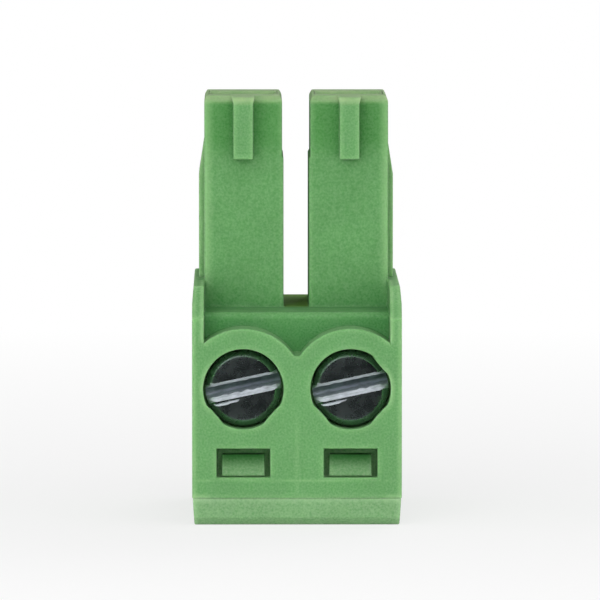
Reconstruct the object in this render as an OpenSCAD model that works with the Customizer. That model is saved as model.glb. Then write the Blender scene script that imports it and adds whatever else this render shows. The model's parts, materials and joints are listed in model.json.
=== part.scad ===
// Pluggable screw terminal block with two poles. A moulded housing carries two hollow contact fingers,
// a wire cover snaps into its open end, and each pole has a slotted clamp screw, a rising cage that the
// screw pulls up, and a stamped contact whose bar lies in the cage and whose springs stand in the finger.
// x runs across the poles, y from the screw face to the back, z from the wire face up to the finger tips.

/* [Clamp screw] */
// Distance between the centres of the two poles
pitch = 3.81; // [3.6:0.01:4.4]
// Height of the screw axis above the wire face
screw_h = 4.86; // [4.6:0.01:5.4]
// Outside diameter of the thread
thread_d = 2; // [1.7:0.05:2.2]
// Diameter of the head
head_d = 2.7; // [2.4:0.05:2.8]
// Height of the head
head_h = 1.5; // [1.2:0.05:1.8]
// Radius of the head's rounded rim
head_rim_r = 0.25; // [0.1:0.05:0.4]
// Depth of the head's top below the screw face
head_recess = 0.4; // [0.3:0.05:0.8]
// Width of the driver slot
slot_w = 0.55; // [0.4:0.05:0.7]
// Depth of the driver slot
slot_d = 0.75; // [0.4:0.05:1]
// Angle of the driver slot when the clamp is open
slot_angle = 12; // [-90:1:90]
// Chamfer at the screw's tip
tip_chamfer = 0.25; // [0.1:0.05:0.4]

/* [Clamp cage] */
// Width of the cage across the pole
cage_w = 2.7; // [2.6:0.05:2.9]
// Length of the cage along the wire
cage_l = 3.4; // [3:0.05:3.6]
// Thickness of the threaded wall
cage_roof = 1.2; // [0.8:0.05:1.6]
// Thickness of the wall that presses on the wire
cage_floor = 0.8; // [0.5:0.05:1.2]
// Thickness of the side walls
cage_side = 0.36; // [0.3:0.02:0.4]
// Outer radius of the cage's bends
cage_bend_r = 0.45; // [0.2:0.05:0.7]
// Travel of the cage from open to closed
cage_travel = 2.2; // [1.5:0.1:2.3]
// Room for the wire when the clamp is open
wire_gap = 2.4; // [2.4:0.1:3]
// Depth of the grip grooves in the cage floor and the bar
grip_depth = 0.1; // [0.05:0.05:0.15]
// Distance between the grip grooves
grip_step = 0.7; // [0.5:0.05:0.9]

/* [Contact] */
// Thickness of the contact's sheet
sheet_t = 0.45; // [0.3:0.05:0.5]
// Width of the clamping bar
bar_w = 1.8; // [1.4:0.05:1.85]
// Distance of the socket's axis behind the front of the bar
socket_offset = 0.9; // [0.6:0.05:1.2]
// Width of the folded box that the springs rise from
box_w = 1.8; // [1.5:0.05:1.9]
// Depth of the folded box
box_d = 3.8; // [3.2:0.1:4]
// Height of the folded box
box_l = 2.15; // [1.6:0.05:2.6]
// Width of the spring legs
leg_w = 1.4; // [1:0.05:1.45]
// Height from the box to the point that grips the pin
leg_rise = 3.9; // [3:0.1:4.2]
// Height from that point to the lips of the springs
lip_rise = 0.8; // [0.5:0.05:0.9]
// Outward reach of the lips
lip_reach = 0.33; // [0.2:0.05:0.5]
// Gap between the springs with no pin in them
pin_gap = 0.84; // [0.6:0.02:1]
// Radius of the bend at the grip point
grip_bend_r = 0.25; // [0.15:0.05:0.4]

/* [Housing] */
// Thickness of the side walls and of the cheeks that stand above the shoulder
side_wall = 0.42; // [0.3:0.02:0.6]
// Thickness of the back wall
back_wall = 1; // [0.8:0.05:1.5]
// Thickness of the ledge under the screw head
screw_ledge = 0.55; // [0.4:0.05:0.8]
// Thickness of the chamber's roof, up to the shoulder
chamber_roof = 0.68; // [0.5:0.02:1.2]
// Radius of the rounded tower around each screw
tower_r = 2.16; // [2:0.02:2.3]
// Height of the notch's floor between the towers, above the screw axis
notch_rise = 1.19; // [1.1:0.01:1.3]
// Depth of the shelf in front of the fingers, below the screw face
shelf_d = 1.5; // [1:0.05:1.8]
// Chamfer along the shelf's edge
shelf_chamfer = 0.15; // [0.05:0.05:0.3]
// Height of the cheeks above the shoulder
cheek_rise = 0.98; // [0.5:0.02:1.5]
// Depth of the slope at the cheeks' front corners
cheek_slope_d = 1.2; // [0.6:0.05:1.4]
// Height of the slope at the cheeks' front corners
cheek_slope_h = 1.1; // [0.6:0.02:1.4]
// Size of the bevel at the cheeks' back corners
cheek_back_bevel = 0.5; // [0.2:0.05:0.8]
// Inward taper at the cheeks' tops
cheek_taper = 0.05; // [0.02:0.01:0.2]
// Length of that taper
cheek_taper_h = 0.6; // [0.3:0.05:0.8]
// Reach of the nubs that keep the screws from falling out
nub_reach = 0.1; // [0.08:0.01:0.14]
// Radius of the nubs
nub_r = 4; // [2:0.5:6]

/* [Fingers] */
// Length of the fingers above the shoulder
finger_l = 7.6; // [7.2:0.1:9]
// Thickness of a finger's side walls
finger_side = 0.45; // [0.35:0.01:0.5]
// Thickness of a finger's front and back walls
finger_wall = 0.65; // [0.5:0.05:0.8]
// Height of the lead-in taper at a finger's tip
lead_h = 1.95; // [1.5:0.05:3]
// Backward lean of that taper
lead_in = 0.25; // [0.1:0.05:0.4]
// Bevel around the tip
tip_bevel = 0.18; // [0.1:0.02:0.22]
// Thickness of the end wall that the pin enters through
end_wall = 0.9; // [0.6:0.05:1.1]
// Width of the pin funnel at the tip
mouth_w = 2.4; // [1.8:0.05:2.4]
// Depth of the pin funnel at the tip
mouth_d = 2.4; // [2:0.1:3.4]
// Width and depth of the square throat that the pin passes
throat = 1.3; // [1.1:0.05:1.5]
// Height of the straight throat under the funnel
throat_h = 0.2; // [0.1:0.05:0.3]
// Extra width of the flank on a finger's outer side
flank_out = 0.2; // [0.1:0.02:0.3]
// Depth of that flank behind the finger's front
flank_set = 1.6; // [1:0.1:2.5]
// Height of that flank above the shoulder, taper included
flank_h = 6; // [4:0.1:6.8]
// Height of the taper at that flank's top
flank_taper = 1.3; // [0.5:0.1:1.6]
// Extra width on a finger's inner side, below its tip
step_in = 0.05; // [0.03:0.01:0.2]
// Height of that wider part above the shoulder
step_h = 5.4; // [4:0.1:5.6]
// Width of the coding rib
rib_w = 0.7; // [0.5:0.05:1]
// Length of the coding rib
rib_l = 2.24; // [1.6:0.02:3]
// Reach of the coding rib in front of the finger
rib_reach = 1; // [0.6:0.05:1.3]
// Bevel at the top of the coding rib
rib_bevel = 0.09; // [0.05:0.01:0.3]
// Widening of the coding rib where it meets the tip
rib_flare = 0.07; // [0.05:0.01:0.3]
// Height of that widening
rib_flare_h = 0.25; // [0.1:0.05:0.6]

/* [Wire cover] */
// Height of the cover's plate
cover_h = 0.98; // [0.8:0.02:1.1]
// Inset of the plate from the housing's sides
cover_inset = 0.02; // [0.01:0.01:0.12]
// Lean of the plate's front and back edges
cover_lean = 0.16; // [0.05:0.01:0.2]
// Lean of the plate's ends
cover_side_lean = 0.06; // [0.02:0.01:0.15]
// Bevel along the plate's lower edges
cover_bevel = 0.28; // [0.1:0.02:0.3]
// Radius of the hole for the bare wire
wire_r = 0.95; // [0.8:0.05:1]
// Radius of the funnel that takes the wire's insulation
funnel_r = 1.35; // [1.2:0.05:1.4]
// Depth of the funnel's straight mouth
funnel_h = 0.6; // [0.4:0.05:0.7]
// Height of the funnel's cone
cone_h = 0.8; // [0.6:0.05:1]
// Chamfer around the funnel's mouth
funnel_chamfer = 0.12; // [0.05:0.01:0.15]
// Lap of the wire block in front of the bar
block_lap = 0.25; // [0.1:0.05:0.5]
// Wall of the wire block behind the wire hole
block_wall = 0.65; // [0.4:0.05:0.7]
// Thickness of the housing's skin around the latch windows
window_skin = 0.6; // [0.5:0.05:0.7]
// Width of the latch windows
window_w = 1.9; // [1.7:0.05:2.2]
// Height of the latch windows
window_h = 1.02; // [0.9:0.02:1.1]
// Height of the sill between the cover and the windows
window_sill = 0.74; // [0.5:0.02:0.76]
// Width of the latch tongues
tongue_w = 1.52; // [1.2:0.02:1.6]
// Thickness of the latch tongues
tongue_t = 0.55; // [0.4:0.05:0.6]
// Room behind the tongues to bend in
flex_room = 0.55; // [0.4:0.05:0.6]
// Depth of the hooks' faces below the housing's face
hook_recess = 0.25; // [0.1:0.05:0.35]
// Height of the hooks' flat faces
hook_face = 0.1; // [0.05:0.05:0.6]
// Gap between the top of a tongue and the top of its window
tongue_drop = 0.25; // [0.15:0.05:0.35]

/* [Clearances] */
// Clearance beside pieces that slide, turn or slip in
slide_gap = 0.05; // [0.03:0.01:0.08]
// Clearance between the thread and the hole in the cage or the ledge
thread_gap = 0.04; // [0.02:0.01:0.08]
// Clearance around the screw head
head_gap = 0.08; // [0.04:0.01:0.12]
// Clearance between a hook and its sill
hook_gap = 0.02; // [0.01:0.01:0.05]
// Clearance between the cage and the chamber at the ends of its travel
stop_gap = 0.2; // [0.1:0.05:0.4]
// Clearance between the cage's ends and what lies along the wire
end_gap = 0.1; // [0.05:0.05:0.2]
// Clearance in front of and behind the contact's box
box_gap = 0.2; // [0.1:0.05:0.3]

/* [Hidden] */
$fn = 64;

LEFT = -1;
RIGHT = 1;
eps = 0.1;
arc_steps = 6;
leg_steps = 8;
moulded_green = [0.435, 0.643, 0.408];
cover_green = [0.455, 0.655, 0.43];
plated_steel = [0.55, 0.56, 0.57];
plated_brass = [0.72, 0.7, 0.62];
tinned_bronze = [0.74, 0.72, 0.68];

// Widths
pole_x = pitch / 2;
chamber_w = cage_w + 2 * slide_gap;
body_w = pitch + chamber_w + 2 * side_wall;
cavity_w = box_w + 2 * slide_gap;
finger_w = cavity_w + 2 * finger_side;
leg_room_w = leg_w + 4 * slide_gap;
block_w = chamber_w - 2 * slide_gap;

// Depths behind the screw face
head_seat_y = head_recess + head_h;
ledge_y = head_seat_y + slide_gap;
chamber_y = ledge_y + screw_ledge;
cage_y = chamber_y + stop_gap + cage_travel;
cage_roof_y = cage_y + cage_roof;
tip_y = cage_roof_y - slide_gap;
bar_y = cage_roof_y + slide_gap;
bar_back_y = bar_y + sheet_t;
wire_y = bar_back_y + wire_gap / 2;
cage_floor_y = bar_back_y + wire_gap;
cage_back_y = cage_floor_y + cage_floor;
chamber_back_y = cage_back_y + stop_gap + end_gap;
body_d = chamber_back_y + back_wall;
socket_y = bar_y + socket_offset;
box_y = socket_y - box_d / 2;
cavity_d = box_d + 2 * box_gap;
finger_y = socket_y - cavity_d / 2 - finger_wall;
finger_back_y = socket_y + cavity_d / 2 + finger_wall;
rib_y = finger_y - rib_reach;
tongue_y = window_skin + slide_gap;

// Heights above the wire face
cage_z = screw_h - cage_l / 2;
chamber_top = screw_h + cage_l / 2 + stop_gap + slide_gap;
shoulder_z = chamber_top + chamber_roof;
cheek_z = shoulder_z + cheek_rise;
plug_h = shoulder_z + finger_l;
block_top = cage_z - end_gap;
bar_z = block_top + slide_gap;
box_z = chamber_top + end_gap;
box_top = box_z + box_l;
grip_z = box_top + leg_rise;
lip_z = grip_z + lip_rise;
window_z = cover_h + window_sill;
window_top = window_z + window_h;
hook_z = window_z + hook_gap;
tongue_top = window_top - tongue_drop;

// Moves the block so that the middle of the wire face is the origin.
module place() {
    translate([0, -body_d / 2, 0]) children();
}

module pole(side) {
    translate([side * pole_x, 0, 0]) children();
}

// Turns a y-z outline into a prism of width w, centred across x.
module across(w) {
    rotate([90, 0, 90]) linear_extrude(w, center = true) children();
}

// Turns an x-z outline into a prism from depth y0 to depth y1.
module through(y0, y1) {
    translate([0, y1, 0]) rotate([90, 0, 0]) linear_extrude(y1 - y0) children();
}

// A round along the screw's axis from depth y0 to depth y1.
module drill(r, y0, y1) {
    translate([0, y0, screw_h]) rotate([-90, 0, 0]) cylinder(r = r, h = y1 - y0);
}

module block(x0, x1, y0, y1, z0, z1) {
    translate([x0, y0, z0]) cube([x1 - x0, y1 - y0, z1 - z0]);
}

// The same feature at the screw face and, turned round, at the back.
module front_and_back() {
    children();
    translate([0, body_d, 0]) mirror([0, 1, 0]) children();
}

function arc(cx, cy, r, from, to) = [
    for (i = [0 : arc_steps])
        let (a = from + (to - from) * i / arc_steps)
        [cx + r * cos(a), cy + r * sin(a)]
];

// Block behind the screw face, with the shelf that the fingers rise behind.
module rear_block() {
    across(body_w) polygon([
        [shelf_d, cover_h],
        [shelf_d, shoulder_z - shelf_chamfer],
        [shelf_d + shelf_chamfer, shoulder_z],
        [body_d - shelf_chamfer, shoulder_z],
        [body_d, shoulder_z - shelf_chamfer],
        [body_d, cover_h]
    ]);
}

// Front of the block: a round tower about each screw and a notch between the towers.
module screw_towers() {
    intersection() {
        block(-body_w / 2, body_w / 2, 0, shelf_d + eps, cover_h, shoulder_z - shelf_chamfer);
        union() {
            block(-body_w / 2, body_w / 2, 0, shelf_d + eps, cover_h, screw_h);
            block(-pole_x, pole_x, 0, shelf_d + eps, cover_h, screw_h + notch_rise);
            for (side = [LEFT, RIGHT]) pole(side) drill(tower_r, 0, shelf_d + eps);
        }
    }
}

// Side walls that stand above the shoulder and embrace the mating header.
module cheeks() {
    intersection() {
        for (side = [LEFT, RIGHT])
            translate([side * (body_w - side_wall) / 2, 0, 0]) across(side_wall) polygon([
                [0, cover_h],
                [0, cheek_z - cheek_slope_h],
                [cheek_slope_d, cheek_z],
                [body_d - cheek_back_bevel, cheek_z],
                [body_d, cheek_z - cheek_back_bevel],
                [body_d, cover_h]
            ]);
        through(0, body_d) polygon([
            [-body_w / 2, cover_h],
            [body_w / 2, cover_h],
            [body_w / 2, cheek_z - cheek_taper_h],
            [body_w / 2 - cheek_taper, cheek_z],
            [cheek_taper - body_w / 2, cheek_z],
            [-body_w / 2, cheek_z - cheek_taper_h]
        ]);
    }
}

// Outside of one finger. Its outer side is at +x here.
module finger_shell() {
    intersection() {
        across(finger_w) polygon([
            [finger_y, chamber_top],
            [finger_y, plug_h - lead_h],
            [finger_y + lead_in, plug_h - tip_bevel],
            [finger_y + lead_in + tip_bevel, plug_h],
            [finger_back_y - tip_bevel, plug_h],
            [finger_back_y, plug_h - tip_bevel],
            [finger_back_y, chamber_top]
        ]);
        through(finger_y, finger_back_y) polygon([
            [-finger_w / 2, chamber_top],
            [finger_w / 2, chamber_top],
            [finger_w / 2, plug_h - tip_bevel],
            [(finger_w - tip_bevel) / 2, plug_h],
            [(tip_bevel - finger_w) / 2, plug_h],
            [-finger_w / 2, plug_h - tip_bevel]
        ]);
    }
}

// Widening of a finger towards its base: a flank with a tapered top outside, a small step inside.
module finger_flanks() {
    flank_z = shoulder_z + flank_h;
    step_z = shoulder_z + step_h;
    through(finger_y + flank_set, finger_back_y) polygon([
        [0, chamber_top],
        [finger_w / 2 + flank_out, chamber_top],
        [finger_w / 2 + flank_out, flank_z - flank_taper],
        [finger_w / 2, flank_z],
        [0, flank_z]
    ]);
    through(finger_y, finger_back_y) polygon([
        [0, chamber_top],
        [0, step_z],
        [-finger_w / 2, step_z],
        [-finger_w / 2 - step_in, step_z - step_in],
        [-finger_w / 2 - step_in, chamber_top]
    ]);
}

// Rib at the tip that keys the plug to its header.
module coding_rib() {
    rib_z = plug_h - rib_l;
    root_y = finger_y + lead_in + tip_bevel;
    intersection() {
        across(rib_w + 2 * rib_flare) polygon([
            [rib_y, rib_z],
            [rib_y, plug_h - rib_bevel],
            [rib_y + rib_bevel, plug_h],
            [root_y, plug_h],
            [root_y, rib_z]
        ]);
        through(rib_y, root_y) polygon([
            [-rib_w / 2, rib_z],
            [rib_w / 2, rib_z],
            [rib_w / 2, plug_h - rib_flare_h],
            [rib_w / 2 + rib_flare, plug_h],
            [-rib_w / 2 - rib_flare, plug_h],
            [-rib_w / 2, plug_h - rib_flare_h]
        ]);
    }
}

module finger(side) {
    mirror([side == LEFT ? 1 : 0, 0, 0]) {
        finger_shell();
        finger_flanks();
    }
    coding_rib();
}

// Room for the cage, open towards the wire cover.
module clamp_chamber() {
    block(-chamber_w / 2, chamber_w / 2, chamber_y, chamber_back_y, cover_h - eps, chamber_top);
}

// Stepped hole for the screw. The nubs at its mouth keep the head in.
module screw_hole(nub_angles) {
    hole_r = head_d / 2 + head_gap;
    difference() {
        drill(hole_r, -eps, ledge_y);
        for (a = nub_angles)
            translate([(hole_r + nub_r - nub_reach) * cos(a), 0, (hole_r + nub_r - nub_reach) * sin(a)])
                drill(nub_r, -2 * eps, head_recess - nub_reach);
    }
    drill(thread_d / 2 + 2 * thread_gap, ledge_y - eps, chamber_y + eps);
}

// Room for the contact, from the chamber up to the end wall, with a step that stops the box.
module contact_cavity() {
    stop_z = box_top + slide_gap;
    y0 = socket_y - cavity_d / 2;
    y1 = socket_y + cavity_d / 2;
    block(-cavity_w / 2, cavity_w / 2, y0, y1, chamber_top - eps, stop_z);
    block(-leg_room_w / 2, leg_room_w / 2, y0, y1, stop_z - eps, plug_h - end_wall);
}

// Funnel that leads the header's pin into the springs.
module pin_funnel() {
    throat_z = plug_h - end_wall + throat_h;
    module sides(mouth) {
        polygon([
            [-throat / 2, plug_h - end_wall - eps],
            [throat / 2, plug_h - end_wall - eps],
            [throat / 2, throat_z],
            [mouth / 2, plug_h],
            [mouth / 2, plug_h + eps],
            [-mouth / 2, plug_h + eps],
            [-mouth / 2, plug_h],
            [-throat / 2, throat_z]
        ]);
    }
    intersection() {
        translate([0, socket_y, 0]) across(mouth_w) sides(mouth_d);
        through(socket_y - mouth_d / 2, socket_y + mouth_d / 2) sides(mouth_w);
    }
}

// Window that a hook of the wire cover springs into, and the pocket behind it for the tongue.
module latch_window() {
    pocket_back = tongue_y + tongue_t + flex_room;
    block(-window_w / 2, window_w / 2, -eps, pocket_back, window_z, window_top);
    block(-window_w / 2, window_w / 2, window_skin, pocket_back, cover_h - eps, window_top + tongue_drop);
}

module housing() {
    color(moulded_green) place() difference() {
        union() {
            rear_block();
            screw_towers();
            cheeks();
            for (side = [LEFT, RIGHT]) pole(side) finger(side);
        }
        for (side = [LEFT, RIGHT]) pole(side) {
            clamp_chamber();
            screw_hole(side == LEFT ? [222, 318] : [40, 222, 318]);
            contact_cavity();
            pin_funnel();
            front_and_back() latch_window();
        }
    }
}

module cover_plate() {
    half_w = body_w / 2 - cover_inset;
    intersection() {
        across(body_w) polygon([
            [0, cover_h],
            [cover_lean, cover_bevel],
            [cover_lean + cover_bevel, 0],
            [body_d - cover_lean - cover_bevel, 0],
            [body_d - cover_lean, cover_bevel],
            [body_d, cover_h]
        ]);
        through(0, body_d) polygon([
            [-half_w, cover_h],
            [cover_side_lean - half_w, 0],
            [half_w - cover_side_lean, 0],
            [half_w, cover_h]
        ]);
    }
}

// Block that reaches up into the chamber, carries the wire hole and holds cage and bar in place.
module wire_block() {
    block(
        -block_w / 2, block_w / 2,
        bar_y - block_lap, wire_y + wire_r + block_wall,
        cover_h - eps, block_top
    );
}

module latch_tongue() {
    across(tongue_w) polygon([
        [tongue_y, cover_h - eps],
        [tongue_y, hook_z],
        [hook_recess, hook_z],
        [hook_recess, hook_z + hook_face],
        [tongue_y, tongue_top],
        [tongue_y + tongue_t, tongue_top],
        [tongue_y + tongue_t, cover_h - eps]
    ]);
}

// Round passage for the wire: a chamfered mouth, a cone, and the hole for the bare end.
module wire_funnel() {
    translate([0, wire_y, 0]) rotate_extrude() polygon([
        [0, -eps],
        [funnel_r + funnel_chamfer + eps, -eps],
        [funnel_r, funnel_chamfer],
        [funnel_r, funnel_h],
        [wire_r, funnel_h + cone_h],
        [wire_r, block_top + eps],
        [0, block_top + eps]
    ]);
}

module wire_cover() {
    color(cover_green) place() difference() {
        union() {
            cover_plate();
            for (side = [LEFT, RIGHT]) pole(side) {
                wire_block();
                front_and_back() latch_tongue();
            }
        }
        for (side = [LEFT, RIGHT]) pole(side) wire_funnel();
    }
}

// Slotted screw with a round-edged head. Its tip bears on the contact's bar.
module screw(side) {
    head_r = head_d / 2;
    shank_r = thread_d / 2;
    color(plated_steel) place() pole(side) translate([0, 0, screw_h]) difference() {
        rotate([-90, 0, 0]) rotate_extrude() polygon(concat(
            [[0, tip_y], [0, head_recess]],
            arc(head_r - head_rim_r, head_recess + head_rim_r, head_rim_r, -90, 0),
            [
                [head_r, head_seat_y],
                [shank_r, head_seat_y],
                [shank_r, tip_y - tip_chamfer],
                [shank_r - tip_chamfer, tip_y]
            ]
        ));
        rotate([0, -slot_angle, 0])
            block(-head_r - eps, head_r + eps, head_recess - eps, head_recess + slot_d, -slot_w / 2, slot_w / 2);
    }
}

// V-shaped grooves across the wire, in a face at depth y.
module grip_grooves(w, y) {
    side_length = grip_depth * sqrt(2);
    for (i = [-1 : 1])
        translate([0, y, screw_h + i * grip_step]) rotate([45, 0, 0])
            cube([w, side_length, side_length], center = true);
}

// Closed band bent round bar and wire. The screw's thread runs in its thick roof.
module cage(side) {
    corner_x = cage_w / 2 - cage_bend_r;
    front = cage_y + cage_bend_r;
    back = cage_back_y - cage_bend_r;
    inner_w = cage_w - 2 * cage_side;
    color(plated_brass) place() pole(side) difference() {
        translate([0, 0, cage_z]) linear_extrude(cage_l) polygon(concat(
            arc(corner_x, front, cage_bend_r, -90, 0),
            arc(corner_x, back, cage_bend_r, 0, 90),
            arc(-corner_x, back, cage_bend_r, 90, 180),
            arc(-corner_x, front, cage_bend_r, 180, 270)
        ));
        block(-inner_w / 2, inner_w / 2, cage_roof_y, cage_floor_y, cage_z - eps, cage_z + cage_l + eps);
        drill(thread_d / 2 + thread_gap, cage_y - eps, cage_roof_y + eps);
        grip_grooves(inner_w, cage_floor_y);
    }
}

// Distance of a spring's inner face from the socket's axis at height z: straight away from the grip
// point on both sides, with a round bend at that point.
function spring_slope(reach, rise) = sqrt(pow(reach + grip_bend_r, 2) - pow(grip_bend_r, 2)) / rise;
function spring_offset(z) =
    let (
        root_reach = box_d / 2 - sheet_t - pin_gap / 2,
        slope = z < grip_z ? spring_slope(root_reach, leg_rise) : spring_slope(lip_reach, lip_rise)
    )
    pin_gap / 2 + sqrt(pow(slope * (z - grip_z), 2) + pow(grip_bend_r, 2)) - grip_bend_r;

// One spring leg, bent towards the socket's axis and flared at its lip.
module spring_leg() {
    heights = concat(
        [for (i = [0 : leg_steps]) box_top + leg_rise * i / leg_steps],
        [for (i = [1 : leg_steps]) grip_z + lip_rise * i / leg_steps]
    );
    inner = [for (z = heights) [spring_offset(z), z]];
    outer = [for (i = [len(heights) - 1 : -1 : 0]) [spring_offset(heights[i]) + sheet_t, heights[i]]];
    root = [[box_d / 2, box_z], [box_d / 2 - sheet_t, box_z]];
    across(leg_w) polygon(concat(inner, outer, root));
}

// Stamped contact: clamping bar, folded box and two spring legs in one piece of sheet.
module contact(side) {
    color(tinned_bronze) place() pole(side) difference() {
        union() {
            block(-bar_w / 2, bar_w / 2, bar_y, bar_back_y, bar_z, box_z + sheet_t);
            block(-box_w / 2, sheet_t - box_w / 2, box_y, box_y + box_d, box_z, box_top);
            block(-box_w / 2, box_w / 2, box_y, box_y + sheet_t, box_z, box_top);
            block(-box_w / 2, box_w / 2, box_y + box_d - sheet_t, box_y + box_d, box_z, box_top);
            translate([0, socket_y, 0]) {
                spring_leg();
                mirror([0, 1, 0]) spring_leg();
            }
        }
        grip_grooves(bar_w + eps, bar_back_y);
    }
}

housing();
wire_cover();
screw(LEFT);  // left_screw
screw(RIGHT);  // right_screw
cage(LEFT);  // left_cage
cage(RIGHT);  // right_cage
contact(LEFT);  // left_contact
contact(RIGHT);  // right_contact
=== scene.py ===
"""Dressed model of a two-pole pluggable screw terminal block.

The block stands on its wire face, with the contact fingers up and the clamp screws towards the camera. Shapes
are worked out in millimetres in the frame of the solids and stored in metres.
"""

import json
import logging
import math
from dataclasses import dataclass
from enum import Enum
from functools import reduce
from typing import Any

import bmesh
import bpy
import numpy as np
from bmesh.types import BMEdge, BMesh, BMFace, BMLayerItem, BMVert
from bpy.types import ID, Material, Mesh, NodeOutputs, NodeSocket as Socket, Object, World
from mathutils import Matrix, Vector, noise
from mathutils.geometry import delaunay_2d_cdt

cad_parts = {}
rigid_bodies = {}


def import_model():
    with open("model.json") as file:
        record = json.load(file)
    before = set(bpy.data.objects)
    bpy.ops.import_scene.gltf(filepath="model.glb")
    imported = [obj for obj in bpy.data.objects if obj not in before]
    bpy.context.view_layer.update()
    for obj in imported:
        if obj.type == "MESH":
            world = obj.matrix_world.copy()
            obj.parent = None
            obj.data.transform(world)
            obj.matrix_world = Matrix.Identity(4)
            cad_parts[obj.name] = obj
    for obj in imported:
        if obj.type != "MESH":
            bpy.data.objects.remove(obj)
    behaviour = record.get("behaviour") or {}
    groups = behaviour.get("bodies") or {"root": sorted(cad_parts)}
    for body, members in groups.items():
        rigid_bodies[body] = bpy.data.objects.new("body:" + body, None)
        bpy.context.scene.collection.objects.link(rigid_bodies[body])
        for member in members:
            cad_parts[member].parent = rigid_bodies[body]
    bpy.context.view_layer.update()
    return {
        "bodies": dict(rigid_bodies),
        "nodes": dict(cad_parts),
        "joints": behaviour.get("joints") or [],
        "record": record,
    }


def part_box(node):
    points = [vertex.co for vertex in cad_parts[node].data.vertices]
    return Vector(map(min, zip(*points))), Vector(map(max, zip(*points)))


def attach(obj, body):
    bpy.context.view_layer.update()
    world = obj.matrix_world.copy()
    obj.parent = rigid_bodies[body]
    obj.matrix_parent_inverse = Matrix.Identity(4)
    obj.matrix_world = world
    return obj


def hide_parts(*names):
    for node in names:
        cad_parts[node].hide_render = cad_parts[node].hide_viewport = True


LOG = logging.getLogger("terminal_block")
MM = 0.001

Span = tuple[float, float]
Triple = tuple[float, float, float]
Zone = tuple[Span, Span, Span]
Colour = Triple
Value = Socket | Colour | float


class Side(Enum):
    """The two poles, as the camera sees them."""

    LEFT = "left"
    RIGHT = "right"


class Slot(Enum):
    """Material slots of the record."""

    MOULDING = "moulding"
    SCREW = "screw_steel"
    CAGE = "cage_brass"
    CONTACT = "contact_bronze"


class Mark(Enum):
    """Attributes of the faces that the finishes read."""

    EDGE = "edge_wear"
    TOOL = "tool_wear"
    # Faces whose colour darkens upward: the fingers' front walls, and the cover's hooks, where it is painted
    # shade.
    THIN = "thin_wall"
    # Faces that take painted shade where they are closed in.
    OUTER = "outer_wall"
    # Recess faces that take a constant share of painted shade.
    RECESS = "recess"


class Maths(Enum):
    """Ways to combine numbers in a node tree."""

    SUM = "ADD"
    DIFFERENCE = "SUBTRACT"
    PRODUCT = "MULTIPLY"
    LEAST = "MINIMUM"
    MOST = "MAXIMUM"
    SIZE = "ABSOLUTE"


class Mixing(Enum):
    """Ways to mix colours in a node tree."""

    PLAIN = "MIX"
    TINT = "MULTIPLY"


def srgb(*shown: int) -> Colour:
    """Turn a display colour into a linear one.

    Args:
        shown: Red, green and blue as displayed, 0 to 255.

    Returns:
        The linear colour, 0 to 1.
    """
    full, knee, slope, shift, power = 255.0, 0.04045, 12.92, 0.055, 2.4
    shares = [channel / full for channel in shown]
    return tuple(c / slope if c <= knee else ((c + shift) / (1 + shift)) ** power for c in shares)


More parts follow.
